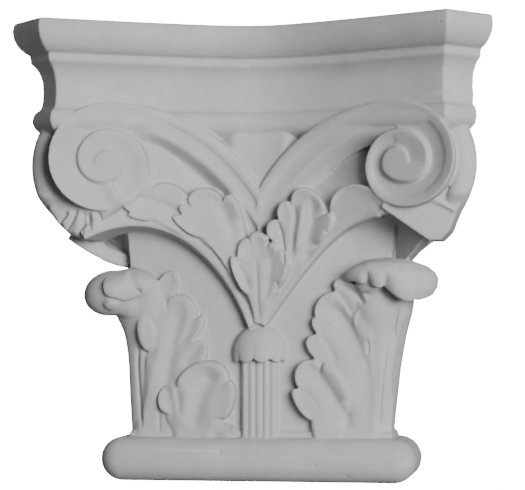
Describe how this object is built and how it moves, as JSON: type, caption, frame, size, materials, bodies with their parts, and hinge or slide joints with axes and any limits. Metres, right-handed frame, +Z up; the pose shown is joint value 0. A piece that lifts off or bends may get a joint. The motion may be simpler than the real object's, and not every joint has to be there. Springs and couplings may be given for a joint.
{
  "type": "pilaster capital",
  "caption": "Cast plaster capital for a pilaster: moulded abacus with forward-swept wings, corner volutes, acanthus leaves round a plain bell and a base roll, flat at the back.",
  "frame": {"origin": "middle of the bounding box at the underside of the base roll", "axes": "+X along the wall to the right as seen from the room, +Y into the wall, +Z up"},
  "size_m": [0.2486, 0.096, 0.24],
  "materials": {
    "cast_plaster": "bare cast plaster, dry and matt, with small air bubbles"
  },
  "bodies": {
    "root": {"capital": "cast_plaster"}
  },
  "joints": []
}
